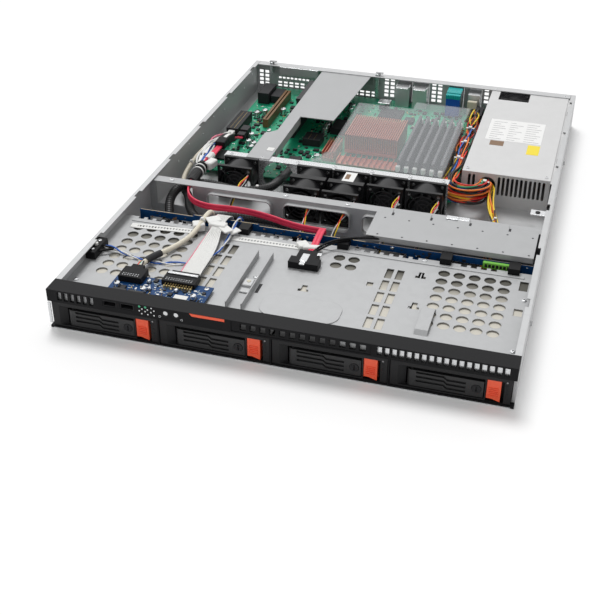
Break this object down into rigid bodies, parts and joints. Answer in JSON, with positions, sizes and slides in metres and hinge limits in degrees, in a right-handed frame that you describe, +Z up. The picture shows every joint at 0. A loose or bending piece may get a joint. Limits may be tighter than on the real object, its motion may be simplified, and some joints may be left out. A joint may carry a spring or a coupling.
{
  "type": "rack server",
  "caption": "Open low-profile rack server with sliding drive carriers, swinging carrier levers, turning fans, main board, riser, air duct and power supply.",
  "frame": {"origin": "bottom centre of the case's box", "axes": "+Z up, -Y the bezel's outward side, +X the bezel's right-hand end as seen from the front"},
  "size_m": [0.434, 0.618, 0.042],
  "materials": {
    "galvanised_steel": "dull zinc",
    "black_plastic": "fine moulded grain",
    "dark_plastic": "plain moulded",
    "orange_plastic": "semi-gloss",
    "blue_board": "solder resist",
    "green_board": "solder resist",
    "silver_plastic": "silver paint",
    "white_plastic": "plain moulded",
    "copper": "bright copper",
    "clear_plastic": "clear moulded",
    "port_metal": "plated shell",
    "memory_metal": "satin spreader",
    "beige_jacket": "matt jacket",
    "blue_jacket": "matt jacket",
    "black_jacket": "corrugated",
    "wire_jacket": "matt jacket",
    "white_jacket": "matt jacket",
    "red_jacket": "matt jacket"
  },
  "bodies": {
    "chassis": {"air_duct": "clear_plastic", "backplane_board": "blue_board", "backplane_sockets": "black_plastic", "board_components": "black_plastic", "cable_plugs": "black_plastic", "channel_cover": "galvanised_steel", "chassis_tray": "galvanised_steel", "drive_bay_dividers": "galvanised_steel", "drive_bay_top": "galvanised_steel", "drive_loom": "black_jacket", "expansion_slots": "black_plastic", "fan_bracket": "galvanised_steel", "fan_frames": "black_plastic", "fan_wall": "galvanised_steel", "front_bezel": "black_plastic", "front_panel_board": "blue_board", "heat_sinks": "copper", "intrusion_switch": "black_plastic", "memory_modules": "memory_metal", "memory_sockets": "black_plastic", "motherboard": "green_board", "optical_bay_door": "black_plastic", "ports": "port_metal", "psu_case": "galvanised_steel", "psu_inlet": "black_plastic", "rear_panel": "galvanised_steel", "ribbon_cable": "white_jacket", "riser_bracket": "galvanised_steel", "riser_card": "green_board", "sata_cable": "red_jacket", "switch_wires": "blue_jacket", "usb_cable": "beige_jacket", "wiring_harness": "wire_jacket"},
    "lock_1": {"carrier_lock_1": "dark_plastic"},
    "lock_2": {"carrier_lock_2": "dark_plastic"},
    "lock_3": {"carrier_lock_3": "dark_plastic"},
    "lock_4": {"carrier_lock_4": "dark_plastic"},
    "carrier_1": {"drive_carrier_1": "black_plastic"},
    "carrier_2": {"drive_carrier_2": "black_plastic"},
    "carrier_3": {"drive_carrier_3": "black_plastic"},
    "carrier_4": {"drive_carrier_4": "black_plastic"},
    "fan_1": {"fan_rotor_1": "dark_plastic"},
    "fan_2": {"fan_rotor_2": "dark_plastic"},
    "fan_3": {"fan_rotor_3": "dark_plastic"},
    "fan_4": {"fan_rotor_4": "dark_plastic"},
    "fan_5": {"fan_rotor_5": "dark_plastic"},
    "fan_6": {"fan_rotor_6": "dark_plastic"},
    "fan_7": {"fan_rotor_7": "dark_plastic"},
    "intrusion_plunger": {"intrusion_plunger": "white_plastic"},
    "locator_button": {"locator_button": "silver_plastic"},
    "power_button": {"power_button": "silver_plastic"},
    "psu_fan": {"psu_fan_rotor": "dark_plastic"},
    "lever_1": {"pull_lever_1": "black_plastic"},
    "lever_2": {"pull_lever_2": "black_plastic"},
    "lever_3": {"pull_lever_3": "black_plastic"},
    "lever_4": {"pull_lever_4": "black_plastic"},
    "latch_1": {"release_latch_1": "orange_plastic"},
    "latch_2": {"release_latch_2": "orange_plastic"},
    "latch_3": {"release_latch_3": "orange_plastic"},
    "latch_4": {"release_latch_4": "orange_plastic"}
  },
  "joints": [
    {"name": "carrier_1_slide", "type": "slide", "parent": "chassis", "child": "carrier_1", "axis": [0, -1, 0], "range_m": [0, 0.15]},
    {"name": "lever_1_swing", "type": "hinge", "parent": "carrier_1", "child": "lever_1", "pos_m": [-0.19295, -0.303, 0.01285], "axis": [0, 0, -1], "range_deg": [0, 75]},
    {"name": "lock_1_turn", "type": "hinge", "parent": "lever_1", "child": "lock_1", "pos_m": [-0.13695, -0.307, 0.01285], "axis": [0, 1, 0], "range_deg": [0, 90]},
    {"name": "latch_1_slide", "type": "slide", "parent": "carrier_1", "child": "latch_1", "axis": [1, 0, 0], "range_m": [0, 0.0025], "stiffness_N_per_m": 400, "springref_m": -0.001},
    {"name": "carrier_2_slide", "type": "slide", "parent": "chassis", "child": "carrier_2", "axis": [0, -1, 0], "range_m": [0, 0.15]},
    {"name": "lever_2_swing", "type": "hinge", "parent": "carrier_2", "child": "lever_2", "pos_m": [-0.08665, -0.303, 0.01285], "axis": [0, 0, -1], "range_deg": [0, 75]},
    {"name": "lock_2_turn", "type": "hinge", "parent": "lever_2", "child": "lock_2", "pos_m": [-0.03065, -0.307, 0.01285], "axis": [0, 1, 0], "range_deg": [0, 90]},
    {"name": "latch_2_slide", "type": "slide", "parent": "carrier_2", "child": "latch_2", "axis": [1, 0, 0], "range_m": [0, 0.0025], "stiffness_N_per_m": 400, "springref_m": -0.001},
    {"name": "carrier_3_slide", "type": "slide", "parent": "chassis", "child": "carrier_3", "axis": [0, -1, 0], "range_m": [0, 0.15]},
    {"name": "lever_3_swing", "type": "hinge", "parent": "carrier_3", "child": "lever_3", "pos_m": [0.01965, -0.303, 0.01285], "axis": [0, 0, -1], "range_deg": [0, 75]},
    {"name": "lock_3_turn", "type": "hinge", "parent": "lever_3", "child": "lock_3", "pos_m": [0.07565, -0.307, 0.01285], "axis": [0, 1, 0], "range_deg": [0, 90]},
    {"name": "latch_3_slide", "type": "slide", "parent": "carrier_3", "child": "latch_3", "axis": [1, 0, 0], "range_m": [0, 0.0025], "stiffness_N_per_m": 400, "springref_m": -0.001},
    {"name": "carrier_4_slide", "type": "slide", "parent": "chassis", "child": "carrier_4", "axis": [0, -1, 0], "range_m": [0, 0.15]},
    {"name": "lever_4_swing", "type": "hinge", "parent": "carrier_4", "child": "lever_4", "pos_m": [0.12595, -0.303, 0.01285], "axis": [0, 0, -1], "range_deg": [0, 75]},
    {"name": "lock_4_turn", "type": "hinge", "parent": "lever_4", "child": "lock_4", "pos_m": [0.18195, -0.307, 0.01285], "axis": [0, 1, 0], "range_deg": [0, 90]},
    {"name": "latch_4_slide", "type": "slide", "parent": "carrier_4", "child": "latch_4", "axis": [1, 0, 0], "range_m": [0, 0.0025], "stiffness_N_per_m": 400, "springref_m": -0.001},
    {"name": "fan_1_spin", "type": "hinge", "parent": "chassis", "child": "fan_1", "pos_m": [-0.135, -0.005, 0.021], "axis": [0, 1, 0], "continuous": true},
    {"name": "fan_2_spin", "type": "hinge", "parent": "chassis", "child": "fan_2", "pos_m": [-0.0492, -0.033, 0.021], "axis": [0, 1, 0], "continuous": true},
    {"name": "fan_3_spin", "type": "hinge", "parent": "chassis", "child": "fan_3", "pos_m": [-0.0492, -0.005, 0.021], "axis": [0, 1, 0], "continuous": true},
    {"name": "fan_4_spin", "type": "hinge", "parent": "chassis", "child": "fan_4", "pos_m": [-0.0063, -0.033, 0.021], "axis": [0, 1, 0], "continuous": true},
    {"name": "fan_5_spin", "type": "hinge", "parent": "chassis", "child": "fan_5", "pos_m": [-0.0063, -0.005, 0.021], "axis": [0, 1, 0], "continuous": true},
    {"name": "fan_6_spin", "type": "hinge", "parent": "chassis", "child": "fan_6", "pos_m": [0.0366, -0.005, 0.021], "axis": [0, 1, 0], "continuous": true},
    {"name": "fan_7_spin", "type": "hinge", "parent": "chassis", "child": "fan_7", "pos_m": [0.0795, -0.005, 0.021], "axis": [0, 1, 0], "continuous": true},
    {"name": "psu_fan_spin", "type": "hinge", "parent": "chassis", "child": "psu_fan", "pos_m": [0.14, 0.285, 0.021], "axis": [0, 1, 0], "continuous": true},
    {"name": "power_button_press", "type": "slide", "parent": "chassis", "child": "power_button", "axis": [0, 1, 0], "range_m": [0, 0.0012], "stiffness_N_per_m": 800, "springref_m": -0.0005},
    {"name": "locator_button_press", "type": "slide", "parent": "chassis", "child": "locator_button", "axis": [0, 1, 0], "range_m": [0, 0.0012], "stiffness_N_per_m": 800, "springref_m": -0.0005},
    {"name": "intrusion_plunger_press", "type": "slide", "parent": "chassis", "child": "intrusion_plunger", "axis": [0, 0, -1], "range_m": [0, 0.0016], "stiffness_N_per_m": 400, "springref_m": -0.001}
  ]
}
